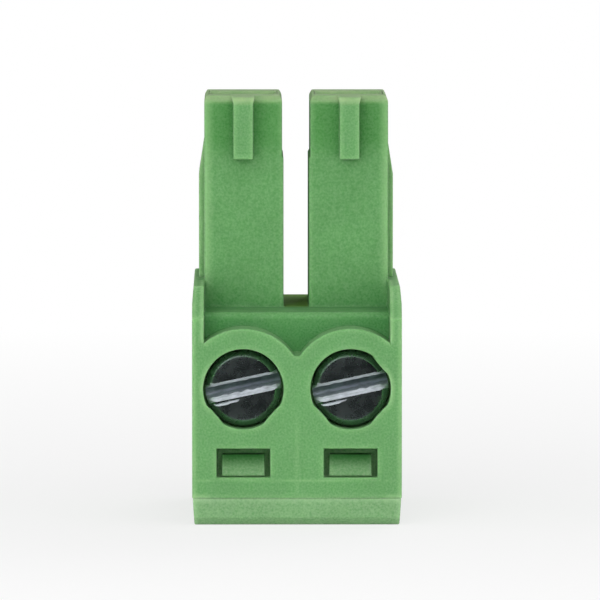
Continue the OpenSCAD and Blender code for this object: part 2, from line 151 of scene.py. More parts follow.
class NodeSheet:
    """Node tree of a material or of the air, with a short call for each kind of node."""

    wave_unit = math.pi / 10  # length of a wave at scale 1
    shade_samples = 8
    mix_inputs, mix_output = (0, 6, 7), 2  # sockets for colours
    direct_rays = ("Is Camera Ray", "Is Glossy Ray", "Is Transmission Ray")

    def __init__(self, owner: Material | World) -> None:
        """Switch on the nodes and find the shader that is there.

        Args:
            owner: Material or world that has the nodes.
        """
        owner.use_nodes = True
        self.owner = owner
        self.tree = owner.node_tree
        self.surface = next(node for node in self.tree.nodes if "Surface" in node.inputs).inputs["Surface"]
        self.shader = self.surface.links[0].from_node
        self.coordinates = self.add("TexCoord")
        self.place = self.coordinates["Object"]

    def fill(self, target: Socket, value: Value) -> None:
        """Link a socket to the target, or set a constant on it.

        Args:
            target: Input of a node.
            value: Output to link, or constant to set.
        """
        if isinstance(value, Socket):
            self.tree.links.new(value, target)
        else:
            target.default_value = (*value, 1.0) if target.type == "RGBA" else value

    def add(self, kind: str, inputs: dict[str | int, Value] | None = None, **options: Any) -> NodeOutputs:
        """Add a node.

        Args:
            kind: Type of the node.
            inputs: What goes into its sockets.
            options: Other settings of the node.

        Returns:
            Its outputs.
        """
        node = self.tree.nodes.new(f"ShaderNode{kind}")
        for name, value in options.items():
            setattr(node, name, value)
        for name, value in (inputs or {}).items():
            self.fill(node.inputs[name], value)
        return node.outputs

    def feed(self, **inputs: Value) -> None:
        """Fill inputs of the shader, named with underscores for spaces."""
        for name, value in inputs.items():
            self.fill(self.shader.inputs[name.replace("_", " ")], value)

    def show(self, factor: Value, first: Socket, second: Socket) -> None:
        """Show a mix of two shaders, with the factor as the share of the second."""
        self.fill(self.surface, self.add("MixShader", {"Fac": factor, 1: first, 2: second})["Shader"])

    def stretched(self, scale: Triple, turn: float = 0.0) -> Socket:
        """Object coordinates turned about y, in radians, in which patterns come out longer by a scale."""
        inputs = {"Vector": self.place, "Scale": scale, "Rotation": (0, turn, 0)}
        return self.add("Mapping", inputs, vector_type="TEXTURE")["Vector"]

    def noise(self, feature_mm: float, detail: float = 2.0, place: Socket | None = None) -> Socket:
        """Smooth noise, mostly 0.3 to 0.7, at some coordinates or at the object's own."""
        inputs = {"Vector": place or self.place, "Scale": 1 / (feature_mm * MM), "Detail": detail}
        return self.add("TexNoise", inputs)["Fac"]

    def rings(self, step_mm: float, waver: float) -> Socket:
        """Waves of 0 to 1 in rings about the object's own y axis, as a lathe leaves them."""
        inputs = {"Vector": self.place, "Scale": self.wave_unit / (step_mm * MM), "Distortion": waver}
        return self.add("TexWave", inputs, wave_type="RINGS", rings_direction="Y")["Fac"]

    def remap(self, value: Socket, low: float, high: float, start: float = 0.3, stop: float = 0.7) -> Socket:
        """Spread a value from start to stop over low to high, clamped at the ends."""
        inputs = {"Value": value, "From Min": start, "From Max": stop, "To Min": low, "To Max": high}
        return self.add("MapRange", inputs)["Result"]

    def ramp(self, value: Socket, low: float, high: float, span_mm: Span) -> Socket:
        """Spread a length over a new range, clamped at the ends of a span in millimetres."""
        return self.remap(value, low, high, *(end * MM for end in span_mm))

    def maths(self, way: Maths, *values: Value) -> Socket:
        """Combine two numbers or more in the order given."""
        return reduce(lambda a, b: self.add("Math", {0: a, 1: b}, operation=way.value)["Value"], values)

    def product(self, *values: Value) -> Socket:
        """Product of two numbers or more."""
        return self.maths(Maths.PRODUCT, *values)

    def along(self, axis: str, place: Socket | None = None) -> Socket:
        """Place along an axis, X, Y or Z, of some coordinates or of the object's own, in metres."""
        return self.add("SeparateXYZ", {"Vector": place or self.place})[axis]

    def apart(self, axis: str, plane_mm: float = 0.0) -> Socket:
        """Distance along an axis from a plane across it, in metres."""
        away = self.maths(Maths.DIFFERENCE, self.along(axis), plane_mm * MM)
        return self.maths(Maths.SIZE, away, 0.0)

    def zone(self, spans_mm: Zone) -> Socket:
        """Factor that rises from 0 to 1 over a span of the distance from x = 0, one of y and one of z."""
        places = (self.apart("X"), self.along("Y"), self.along("Z"))
        return self.product(*(self.ramp(place, 0, 1, span) for place, span in zip(places, spans_mm)))

    def blend(self, factor: Value, first: Value, second: Value, mode: Mixing = Mixing.PLAIN) -> Socket:
        """Mix a colour with a share of a second one, or tint it by that share."""
        inputs = dict(zip(self.mix_inputs, (factor, first, second)))
        return self.add("Mix", inputs, data_type="RGBA", blend_type=mode.value)[self.mix_output]

    def mark(self, mark: Mark) -> Socket:
        """Value of a face attribute."""
        return self.add("Attribute", attribute_name=mark.value)["Fac"]

    def openness(self, reach_mm: float, inside: bool) -> Socket:
        """Free share of the space out of a face, or into the solid, where only convex edges come near."""
        options = {"samples": self.shade_samples, "inside": inside, "only_local": True}
        return self.add("AmbientOcclusion", {"Distance": reach_mm * MM}, **options)["AO"]

    def seen_directly(self) -> Socket:
        """Factor that is 1 for rays from the camera, from gloss and through glass."""
        rays = self.add("LightPath")
        return self.maths(Maths.MOST, *(rays[kind] for kind in self.direct_rays))

    def relief(self, layers: list[tuple[Socket, float]]) -> None:
        """Raise the surface by fine layers of relief.

        Args:
            layers: Height between 0 and 1 of each layer, with its depth in millimetres.
        """
        under = {}
        for height, depth_mm in layers:
            bump = self.add("Bump", {"Height": height, "Distance": depth_mm * MM, **under})
            under = {"Normal": bump["Normal"]}
        self.feed(**under)


@dataclass(frozen=True)
class MouldedPlastic:
    """Satin moulded plastic: clouded and grained, with painted shade in hollows and pale edges of wear and
    painted highlight.
    """

    name: str
    colour: Colour
    wear_and_highlight: Colour
    wear_and_sheen: Colour
    cloud_mm: float = 1.7
    cloud_tone: float = 0.05
    grain_mm: float = 0.075
    grain_tone: Colour = (0.24, 0.12, 0.22)
    grain_depth_mm: float = 0.006
    ripple_mm: float = 0.5
    ripple_depth_mm: float = 0.006
    # Pale convex edges: wear, with a painted highlight that grows towards the outer sides.
    rub_mm: float = 0.6
    rub_and_highlight_share: Span = (0.35, 1.0)
    rub_and_highlight_x_mm: Span = (3.0, 3.3)
    rub_least: float = 0.55
    tip_share: Span = (0.45, 0.75)
    # Paler, greyer finger tips: wear with a painted sheen on the lip.
    tip_z_mm: Span = (14.76, 14.97)
    edge_mm: float = 0.22
    edge_openness: Span = (0.5, 1.0)
    # Painted shade in hollows: how far to look, how closed in a place must be, and the tone it takes there.
    hollow_mm: float = 2.0
    hollow_openness: Span = (0.25, 0.85)
    hollow_shade_tone: Colour = (0.5, 0.7, 0.56)
    # Darker towards the top of marked faces; on the cover's hooks this is painted shade.
    darker_up_tone: Colour = (0.73, 0.89, 0.71)
    darker_up_z_mm: Span = (12.85, 13.5)
    darker_up_share: Span = (0.24, 1.0)
    darker_up_edge_share: float = 1.0
    # Painted highlight on the open outer parts of the fingers' front walls.
    flank_highlight_x_mm: Span = (2.95, 3.3)
    flank_highlight_share: float = 0.6
    # Painted shade: a dull olive on the floor between the fingers, deep behind their front walls.
    gap_shade_colour: Colour = srgb(96, 136, 60)
    gap_shade_mm: Zone = ((0.47, 0.4), (-1.6, -0.6), (7.4, 7.46))
    # Painted highlight in a pale line along the seam.
    seam_z_mm: float = 1.61
    seam_w_mm: float = 0.08
    seam_highlight_share: float = 0.0
    pole_mm: Zone = ((0.12, 0.03), (-5.3, -5.5), (4.2, 3.4))
    pole_share: float = 0.0
    roughness: Span = (0.55, 0.72)
    gloss: float = 0.07
    glow_share: float = 0.6
    glow_mm: float = 0.5
    glow_reach: Colour = (0.7, 1.0, 0.6)

    def shaded(self, sheet: NodeSheet, grain: Socket, closed: Socket) -> Socket:
        """Colour before any wear.

        Args:
            sheet: Sheet that gets the nodes.
            grain: Noise of the grain.
            closed: How far a place is closed in, 0 to 1.

        Returns:
            The speckled colour, darker towards the top of marked faces, with painted shade up the hooks, in
            hollows, in the recess and between the fingers.
        """
        signs = (-1, 1)
        clouds = [tuple(channel * (1 + sign * self.cloud_tone) for channel in self.colour) for sign in signs]
        clouded = sheet.blend(sheet.remap(sheet.noise(self.cloud_mm, detail=3), 0, 1), *clouds)
        specks = [tuple(1 + sign * share for share in self.grain_tone) for sign in signs]
        plain = sheet.blend(1.0, clouded, sheet.blend(sheet.remap(grain, 0, 1), *specks), Mixing.TINT)
        # Darker towards the top of marked faces; painted shade on the cover's hooks.
        rise = sheet.ramp(sheet.along("Z"), *self.darker_up_share, self.darker_up_z_mm)
        upward_darkening = sheet.product(sheet.mark(Mark.THIN), rise)
        deep = sheet.blend(upward_darkening, plain, self.darker_up_tone, Mixing.TINT)
        # Painted shade where faces are closed in, and in the recess behind the towers.
        outer = sheet.product(sheet.mark(Mark.OUTER), closed)
        hollow = sheet.maths(Maths.LEAST, sheet.maths(Maths.SUM, outer, sheet.mark(Mark.RECESS)), 1.0)
        deep = sheet.blend(hollow, deep, self.hollow_shade_tone, Mixing.TINT)
        # Painted shade between the fingers.
        return sheet.blend(sheet.zone(self.gap_shade_mm), deep, self.gap_shade_colour)

    def worn(self, sheet: NodeSheet, shaded: Socket, closed: Socket) -> Socket:
        """Colour with its pale places: wear and painted highlights.

        Args:
            sheet: Sheet that gets the nodes.
            shaded: Colour before the wear.
            closed: How far a place is closed in, 0 to 1.

        Returns:
            The colour, paler at edges from wear and painted highlight, with painted highlights on the flanks
            and along the seam, a pale line between the poles, and paler, greyer tips from wear and painted
            sheen.
        """
        wear = sheet.noise(self.rub_mm, detail=3)
        # Pale convex edges, more towards the outer sides: wear with a painted highlight.
        edge = sheet.product(
            sheet.remap(sheet.openness(self.edge_mm, inside=True), 1, 0, *self.edge_openness),
            sheet.remap(sheet.mark(Mark.THIN), 1, self.darker_up_edge_share, 0, 1),
            sheet.ramp(sheet.apart("X"), *self.rub_and_highlight_share, self.rub_and_highlight_x_mm),
            sheet.remap(wear, self.rub_least, 1),
        )
        # Painted highlight on the open outer parts of the fingers' front walls.
        flank = sheet.product(
            sheet.mark(Mark.THIN),
            sheet.remap(closed, 1, 0, 0, 1),
            sheet.ramp(sheet.apart("X"), 0, self.flank_highlight_share, self.flank_highlight_x_mm),
        )
        # Painted highlight in a pale line along the seam.
        near = sheet.ramp(sheet.apart("Z", self.seam_z_mm), self.seam_highlight_share, 0, (0, self.seam_w_mm))
        seam = sheet.product(near, sheet.remap(sheet.noise(self.cloud_mm), 0, 1))
        pole = sheet.product(sheet.zone(self.pole_mm), self.pole_share)
        pale = sheet.maths(Maths.MOST, edge, flank, seam, pole)
        # Paler, greyer finger tips: wear with a painted sheen on the lip.
        height = sheet.ramp(sheet.along("Z"), 0, 1, self.tip_z_mm)
        tip = sheet.product(height, sheet.remap(wear, *self.tip_share))
        return sheet.blend(tip, sheet.blend(pale, shaded, self.wear_and_highlight), self.wear_and_sheen)

    def material(self) -> Material:
        """Build the material.

        Returns:
            The material.
        """
        sheet = NodeSheet(bpy.data.materials.new(self.name))
        grain, ripple = sheet.noise(self.grain_mm), sheet.noise(self.ripple_mm)
        closed = sheet.remap(sheet.openness(self.hollow_mm, inside=False), 1, 0, *self.hollow_openness)
        sheet.feed(
            Base_Color=self.worn(sheet, self.shaded(sheet, grain, closed), closed),
            Roughness=sheet.remap(ripple, *self.roughness),
            Specular_IOR_Level=self.gloss,
            Subsurface_Weight=self.glow_share,
            Subsurface_Scale=self.glow_mm * MM,
            Subsurface_Radius=self.glow_reach,
        )
        sheet.relief([(ripple, self.ripple_depth_mm), (grain, self.grain_depth_mm)])
        return sheet.owner


@dataclass(frozen=True)
class TurnedMetal:
    """Plated steel off the lathe: fine rings, stained plating, bright metal where the driver has worn it,
    painted shade in the slot along its upper wall.
    """

    name: str
    colour: Colour
    stain: Colour
    bright: Colour
    ring_mm: float = 0.06
    ring_depth_mm: float = 0.0012
    ring_waver: float = 0.6
    stain_mm: float = 0.5
    speck_mm: float = 0.05
    speck_depth_mm: float = 0.0012
    scuff_mm: float = 0.06
    scuff_stretch: float = 5.0
    scuff_deg: float = 12.0
    scuff_share: Span = (0.45, 1.0)
    scuff_depth_mm: float = 0.012
    # Painted shade deep in the slot along its upper wall, where the bared metal is held dark.
    slot_shade_share: float = 0.85
    slot_shade_depth_mm: Span = (0.35, 0.55)
    slot_shade_z_mm: Span = (0.02, 0.12)
    roughness: Span = (0.2, 0.34)
    torn_roughness: float = 0.42

    def material(self) -> Material:
        """Build the material.

        Returns:
            The material.
        """
        sheet = NodeSheet(bpy.data.materials.new(self.name))
        tool = sheet.mark(Mark.TOOL)
        stain = sheet.noise(self.stain_mm, detail=4)
        along_slot = sheet.stretched((self.scuff_stretch, 1, 1), turn=-math.radians(self.scuff_deg))
        scuff = sheet.noise(self.scuff_mm, detail=3, place=along_slot)
        # Painted shade: the bared metal is held dark deep in the slot along its upper wall.
        deep = sheet.ramp(sheet.along("Y"), 0, self.slot_shade_share, self.slot_shade_depth_mm)
        upper = sheet.ramp(sheet.along("Z", along_slot), 0, 1, self.slot_shade_z_mm)
        unshaded = sheet.maths(Maths.DIFFERENCE, 1.0, sheet.product(deep, upper))
        bared = sheet.product(sheet.remap(scuff, *self.scuff_share), unshaded, tool)
        plating = sheet.blend(sheet.remap(stain, 0, 1), self.colour, self.stain)
        torn = sheet.product(tool, self.torn_roughness)
        sheet.feed(
            Base_Color=sheet.blend(sheet.maths(Maths.LEAST, bared, 1.0), plating, self.bright),
            Roughness=sheet.maths(Maths.SUM, sheet.remap(stain, *self.roughness), torn),
            Metallic=1.0,
        )
        sheet.relief([
            (sheet.rings(self.ring_mm, self.ring_waver), self.ring_depth_mm),
            (sheet.noise(self.speck_mm), self.speck_depth_mm),
            (sheet.product(tool, scuff), self.scuff_depth_mm),
        ])
        return sheet.owner


@dataclass(frozen=True)
class SheetMetal:
    """Plated strip that was stamped and bent: rolling lines along z, tarnish, polished edges."""

    name: str
    colour: Colour
    tarnish: Colour
    polished: Colour
    roll_mm: float = 0.05
    roll_stretch: float = 12.0
    roll_depth_mm: float = 0.002
    tarnish_mm: float = 0.8
    roughness: Span = (0.24, 0.4)

    def material(self) -> Material:
        """Build the material.

        Returns:
            The material.
        """
        sheet = NodeSheet(bpy.data.materials.new(self.name))
        lines = sheet.noise(self.roll_mm, place=sheet.stretched((1, 1, self.roll_stretch)))
        tarnish = sheet.remap(sheet.noise(self.tarnish_mm, detail=4), 0, 1)
        plating = sheet.blend(tarnish, self.colour, self.tarnish)
        sheet.feed(
            Base_Color=sheet.blend(sheet.mark(Mark.EDGE), plating, self.polished),
            Roughness=sheet.remap(lines, *self.roughness),
            Metallic=1.0,
        )
        sheet.relief([(lines, self.roll_depth_mm)])
        return sheet.owner


def mesh_from(shape: BMesh, name: str, smooth: bool = True) -> Mesh:
    """Turn a shape into a mesh and free it.

    Args:
        shape: Finished shape.
        name: Name of the mesh.
        smooth: Whether its faces are shaded smooth.

    Returns:
        The mesh.
    """
    for face in shape.faces:
        face.smooth = smooth
    mesh = bpy.data.meshes.new(name)
    shape.to_mesh(mesh)
    shape.free()
    return mesh


def placed(name: str, data: ID, finish: Material | None = None) -> Object:
    """Put a new object into the scene.

    Args:
        name: Name of the object.
        data: Its mesh, lamp or camera.
        finish: Material to give a mesh that has none.

    Returns:
        The object.
    """
    if finish:
        data.materials.append(finish)
    thing = bpy.data.objects.new(name, data)
    bpy.context.scene.collection.objects.link(thing)
    return thing


def as_shown(thing: Object) -> Mesh:
    """Mesh of an object with its modifiers applied."""
    return bpy.data.meshes.new_from_object(thing.evaluated_get(bpy.context.evaluated_depsgraph_get()))


def write_mark(mesh: Mesh, mark: Mark, values: list[float]) -> None:
    """Write a mark on the faces of a mesh."""
    mesh.attributes.new(mark.value, "FLOAT", "FACE").data.foreach_set("value", values)


def bare_in_metres(mesh: Mesh) -> None:
    """Take the materials off a mesh and bring it from millimetres to metres."""
    mesh.materials.clear()
    mesh.transform(Matrix.Scale(MM, 4))


def turned_area(first: np.ndarray, second: np.ndarray) -> np.ndarray:
    """Area that pairs of flat vectors span, negative where the second lies clockwise of the first."""
    return first[..., 0] * second[..., 1] - first[..., 1] * second[..., 0]


class FlatPatch:
    """Flat stretch of a solid's skin, made of facets, with any holes in it."""

    def __init__(self, facets: list[BMFace]) -> None:
        """Gather the outline of facets that lie in one plane.

        Args:
            facets: The facets, in millimetres.
        """
        own = set(facets)
        rim = [loop for facet in facets for loop in facet.loops if not own.issuperset(loop.edge.link_faces)]
        self.facets = facets
        self.edges = [loop.edge for loop in rim]
        self.ends = [(loop.vert, loop.link_loop_next.vert) for loop in rim]
        first, second = self.ends[0]
        normal = max(facets, key=lambda facet: facet.calc_area()).normal
        along = (second.co - first.co).normalized()
        self.origin = first.co.copy()
        self.axes = Matrix((along, normal.cross(along), normal))
        self.starts = np.array([self.flat(start) for start, _ in self.ends])
        self.spans = np.array([self.flat(end) for _, end in self.ends]) - self.starts
        self.lengths = np.linalg.norm(self.spans, axis=1)
        self.inward = np.stack((-self.spans[:, 1], self.spans[:, 0]), axis=1) / self.lengths[:, None]
        starting = {start: index for index, (start, _) in enumerate(self.ends)}
        self.after = [starting[end] for _, end in self.ends]
        fore, back = self.spans[self.after], -self.spans
        self.turns = np.arctan2(turned_area(fore, back), (fore * back).sum(axis=1)) % (2 * math.pi)

    def flat(self, corner: BMVert) -> Vector:
        """Place of a corner in the patch's own plane."""
        return (self.axes @ (corner.co - self.origin)).to_2d()

    def rooms(self, shares: tuple[float, ...], hair: float) -> np.ndarray:
        """Measure across the patch from each edge of its outline.

        Args:
            shares: Where along an edge to measure, as shares of it.
            hair: Distance that is taken as nothing.

        Returns:
            The least distance to the outline opposite each edge.
        """
        narrowest = np.full(len(self.edges), np.inf)
        for share in shares:
            gaps = self.starts[None] - (self.starts + share * self.spans)[:, None]
            with np.errstate(divide="ignore", invalid="ignore"):
                slant = turned_area(self.inward[:, None], self.spans[None])
                reach = turned_area(gaps, self.spans[None]) / slant
                crossing = turned_area(gaps, self.inward[:, None]) / slant
            met = (crossing >= 0) & (crossing <= 1) & (reach > hair)
            narrowest = np.minimum(narrowest, np.where(met, reach, np.inf).min(axis=1))
        room = np.minimum(self.lengths, self.lengths[self.after]) * np.abs(np.tan(self.turns / 2))
        room = np.where(self.turns < math.pi, room, np.inf)
        narrowest = np.minimum(narrowest, room)
        narrowest[self.after] = np.minimum(narrowest[self.after], room)
        return narrowest

    def even_out(self, weight: BMLayerItem, straight: float) -> bool:
        """Give edges that run on nearly straight the lesser of their weights.

        Args:
            weight: Layer of the weights.
            straight: Largest turn between them, in radians.

        Returns:
            Whether a weight has changed.
        """
        changed = False
        for index in np.flatnonzero(np.abs(self.turns - math.pi) < straight):
            pair = self.edges[index], self.edges[self.after[index]]
            low, high = sorted(edge[weight] for edge in pair)
            if 0 < low < high:
                pair[0][weight] = pair[1][weight] = low
                changed = True
        return changed

    def holds(self, places: np.ndarray) -> np.ndarray:
        """Find which places lie inside the outline.

        Args:
            places: Places in the patch's plane.

        Returns:
            True for each place inside.
        """
        arms = places[:, None] - self.starts[None]
        with np.errstate(divide="ignore", invalid="ignore"):
            level = (arms[..., 1] >= 0) != (arms[..., 1] >= self.spans[:, 1])
            left = arms[..., 0] < arms[..., 1] * self.spans[:, 0] / self.spans[:, 1]
        return (level & left).sum(axis=1) % 2 == 1

    def guards(self, distance: float) -> np.ndarray:
        """Set points along the inside of the outline.

        Args:
            distance: How far from the outline they lie.

        Returns:
            The points that have room, in the patch's plane.
        """
        spread, near = 4.0, 0.9
        rows = []
        for start, span, length, inward in zip(self.starts, self.spans, self.lengths, self.inward):
            count = math.ceil(length / (spread * distance))
            shares = (np.arange(count) + 0.5) / count
            rows.append(start + shares[:, None] * span + distance * inward)
        places = np.concatenate(rows)
        arms = places[:, None] - self.starts[None]
        along = np.clip((arms * self.spans).sum(axis=2) / self.lengths**2, 0, 1)
        apart = np.linalg.norm(arms - along[..., None] * self.spans, axis=2).min(axis=1)
        return places[(apart > near * distance) & self.holds(places)]

    def refill(self, shape: BMesh, guard_mm: float, hair: float) -> None:
        """Replace the facets by triangles, small ones along the outline, so that edges round cleanly.

        Args:
            shape: Shape that the patch belongs to.
            guard_mm: Size of the small triangles.
            hair: Distance within which points are one.
        """
        corners = list(dict.fromkeys(corner for ends in self.ends for corner in ends))
        number = {corner: index for index, corner in enumerate(corners)}
        places = [self.flat(corner) for corner in corners]
        places += [Vector(place) for place in self.guards(guard_mm)]
        outline = [(number[start], number[end]) for start, end in self.ends]
        points, _, triangles, sources, *_ = delaunay_2d_cdt(places, outline, [], 0, hair)
        bmesh.ops.delete(shape, geom=self.facets, context="FACES")
        lift = self.axes.transposed()
        verts = []
        for point, source in zip(points, sources):
            old = next((index for index in source if index < len(corners)), None)
            verts.append(shape.verts.new(self.origin + lift @ point.to_3d()) if old is None else corners[old])
        middles = np.array([np.mean([points[index] for index in triangle], axis=0) for triangle in triangles])
        for triangle, inside in zip(triangles, self.holds(middles)):
            if inside:
                shape.faces.new([verts[index] for index in triangle])


@dataclass(frozen=True)
class EdgeRounding:
    """Rounded edges for a finer copy of a solid."""

    width_mm: float
    segments: int = 2
    sharp_deg: float = 25.0
    room_share: float = 0.4
    room_places: tuple[float, ...] = (0.3, 0.5, 0.7)
    guard_share: float = 1.6
    weld_mm: float = 0.001
    flat_deg: float = 0.6
    plain_sides: int = 4
    straight_deg: float = 40.0
    fine_share: float = 1.0
    fine_length_mm: float = 0.2
    fine_z_mm: float = 1.1
    face_weight: int = 100

    def wanted(self, edge: BMEdge) -> float:
        """Work out how far to round an edge that has room.

        Args:
            edge: Edge between two faces.

        Returns:
            Share of the full width: none if blunt, less if short or low.
        """
        if not edge.is_manifold or edge.calc_face_angle() < math.radians(self.sharp_deg):
            return 0.0
        low = max(corner.co.z for corner in edge.verts) < self.fine_z_mm
        return self.fine_share if low or edge.calc_length() < self.fine_length_mm else 1.0

    def patches(self, shape: BMesh) -> list[FlatPatch]:
        """Gather a shape's facets into flat patches.

        Args:
            shape: Shape with joined facets.

        Returns:
            The patches, in the order of their first facets.
        """
        found, seen = [], set()
        for face in shape.faces:
            if face in seen:
                continue
            facets = [face]
            seen.add(face)
            for facet in facets:
                for edge in facet.edges:
                    level = edge.is_manifold and edge.calc_face_angle() < math.radians(self.flat_deg)
                    fresh = [other for other in edge.link_faces if level and other not in seen]
                    facets += fresh
                    seen.update(fresh)
            found.append(FlatPatch(facets))
        return found

    def weighted(self, node: Object) -> Mesh:
        """Copy a solid's mesh in millimetres, with flat faces joined and a weight on each edge to round.

        Args:
            node: Object of the solid.

        Returns:
            The copy, with two empty material slots, for faces and for rounded edges.
        """
        shape = bmesh.new()
        shape.from_mesh(node.data)
        bmesh.ops.scale(shape, vec=Vector((1, 1, 1)) / MM, verts=shape.verts)
        bmesh.ops.remove_doubles(shape, verts=shape.verts, dist=self.weld_mm)
        flat, straight = math.radians(self.flat_deg), math.radians(self.straight_deg)
        bmesh.ops.dissolve_limit(shape, angle_limit=flat, verts=shape.verts, edges=shape.edges, delimit=set())
        weight = shape.edges.layers.float.new("bevel_weight_edge")
        for edge in shape.edges:
            edge[weight] = self.wanted(edge)
        patches = self.patches(shape)
        for patch in patches:
            for edge, room in zip(patch.edges, patch.rooms(self.room_places, self.weld_mm)):
                edge[weight] = min(edge[weight], self.room_share * room / self.width_mm)
        uneven = True
        while uneven:
            uneven = any([patch.even_out(weight, straight) for patch in patches])
        for patch in patches:
            if len(patch.edges) > self.plain_sides:
                patch.refill(shape, self.guard_share * self.width_mm, self.weld_mm)
        mesh = mesh_from(shape, f"{node.name}_sharp")
        mesh.materials.append(None)
        mesh.materials.append(None)
        return mesh

    def rounded(self, node: Object, name: str, finish: Material) -> Object:
        """Make the finer copy of a solid.

        Args:
            node: Object of the solid.
            name: Name of the copy.
            finish: Material of the copy.

        Returns:
            The copy in metres, with the rounded edges marked.
        """
        sharp = placed(f"{name}_sharp", self.weighted(node))
        bevel = sharp.modifiers.new("rounding", "BEVEL")
        bevel.limit_method = "WEIGHT"
        bevel.offset_type = "OFFSET"
        bevel.width = self.width_mm
        bevel.segments = self.segments
        bevel.use_clamp_overlap = False
        bevel.loop_slide = False
        bevel.miter_outer = "MITER_SHARP"
        bevel.material = 1
        sharp.modifiers.new("flat_faces", "WEIGHTED_NORMAL").weight = self.face_weight
        mesh = as_shown(sharp)
        bpy.data.objects.remove(sharp)
        write_mark(mesh, Mark.EDGE, [float(face.material_index) for face in mesh.polygons])
        mesh.polygons.foreach_set("material_index", [0] * len(mesh.polygons))
        bare_in_metres(mesh)
        return placed(name, mesh, finish)


@dataclass
class Piece:
    """A piece of the block that stands for one of its solids."""

    node: str
    body: str
    slot: Slot
    finish: Material

    def settle(self, piece: Object) -> None:
        """Let an object stand for the solid, riding on its body.

        Args:
            piece: Finished object, in place.
        """
        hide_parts(self.node)
        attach(piece, self.body)
        LOG.info("%s: %d faces, rides on %s", piece.name, len(piece.data.polygons), self.body)


@dataclass
class RoundedPiece(Piece):
    """A piece whose form is its solid's, with rounded edges."""

    edge_mm: float = 0.08
    fine_share: float = 1.0

    def marks(self, place: Vector, normal: Vector) -> dict[Mark, float]:
        """Marks of a face besides the one on rounded edges: none."""
        return {}

    def build(self, frame: dict[str, Any]) -> None:
        """Build and place the piece.

        Args:
            frame: The loaded frame.
        """
        rounding = EdgeRounding(self.edge_mm, fine_share=self.fine_share)
        piece = rounding.rounded(frame["nodes"][self.node], f"{self.node}_piece", self.finish)
        found = [self.marks(face.center / MM, face.normal) for face in piece.data.polygons]
        for mark in found[0]:
            write_mark(piece.data, mark, [marks[mark] for marks in found])
        self.settle(piece)


@dataclass
class Housing(RoundedPiece):
    """Green moulding with the screw towers, the cheeks and the contact fingers."""

    edge_mm: float = 0.055
    fine_share: float = 0.5
    finger_z_mm: float = 7.7
    finger_y_mm: float = -1.4
    wing_y_mm: float = -0.9
    side_lean: float = 0.5
    lead_lean: float = 0.3
    tower_y_mm: float = -3.6
    tower_z_mm: float = 6.1
    recess_y_mm: Span = (-4.2, -1.3)
    recess_z_mm: Span = (6.1, 7.6)
    recess_lean: float = 0.5
    # Share of painted shade laid on the recess behind the towers.
    recess_shade_share: float = 0.42

    def marks(self, place: Vector, normal: Vector) -> dict[Mark, float]:
        """Mark the fingers' front walls, which darken towards the tips, and the recess behind the towers and
        the walls that take painted shade.

        Args:
            place: Middle of a face, in millimetres.
            normal: Direction that it faces.

        Returns:
            Its marks.
        """
        finger = place.z > self.finger_z_mm
        front = finger and place.y > self.finger_y_mm and normal.y < 0
        upright = max(abs(normal.x), abs(normal.z)) < self.lead_lean
        (near, far), (low, high) = self.recess_y_mm, self.recess_z_mm
        recess = near < place.y < far and low < place.z < high and normal.z - normal.y > self.recess_lean
        side = finger and (place.y > self.wing_y_mm or abs(normal.x) > self.side_lean)
        upper = place.y > self.tower_y_mm and place.z > self.tower_z_mm
        return {
            Mark.THIN: float(front and upright),
            Mark.OUTER: float(recess or upper and not side),
            Mark.RECESS: self.recess_shade_share * recess,
        }


@dataclass
class WireCover(RoundedPiece):
    """Green moulding that closes the wire side and snaps into the housing's windows."""

    edge_mm: float = 0.045
    hook_z_mm: float = 1.5

    def marks(self, place: Vector, normal: Vector) -> dict[Mark, float]:
        """Mark the hooks, which lean back into the windows and take painted shade towards their upper ends.
        """
        return {Mark.THIN: float(place.z > self.hook_z_mm)}


@dataclass
class ClampCage(RoundedPiece):
    """Bent band that the screw pulls up."""

    edge_mm: float = 0.08


@dataclass
class SocketContact(RoundedPiece):
    """Stamped contact with a clamping bar and two springs."""

    edge_mm: float = 0.06


def tube(rings: list[list[Vector]]) -> BMesh:
    """Skin a row of rings and close its ends.

    Args:
        rings: Corners of each ring, as many in every one.

    Returns:
        The closed shape.
    """
    shape = bmesh.new()
    rows = [[shape.verts.new(corner) for corner in ring] for ring in rings]
    for first, second in zip(rows, rows[1:]):
        for corner in range(len(first)):
            after = (corner + 1) % len(first)
            shape.faces.new((first[corner], second[corner], second[after], first[after]))
    shape.faces.new(rows[0])
    shape.faces.new(rows[-1])
    return shape


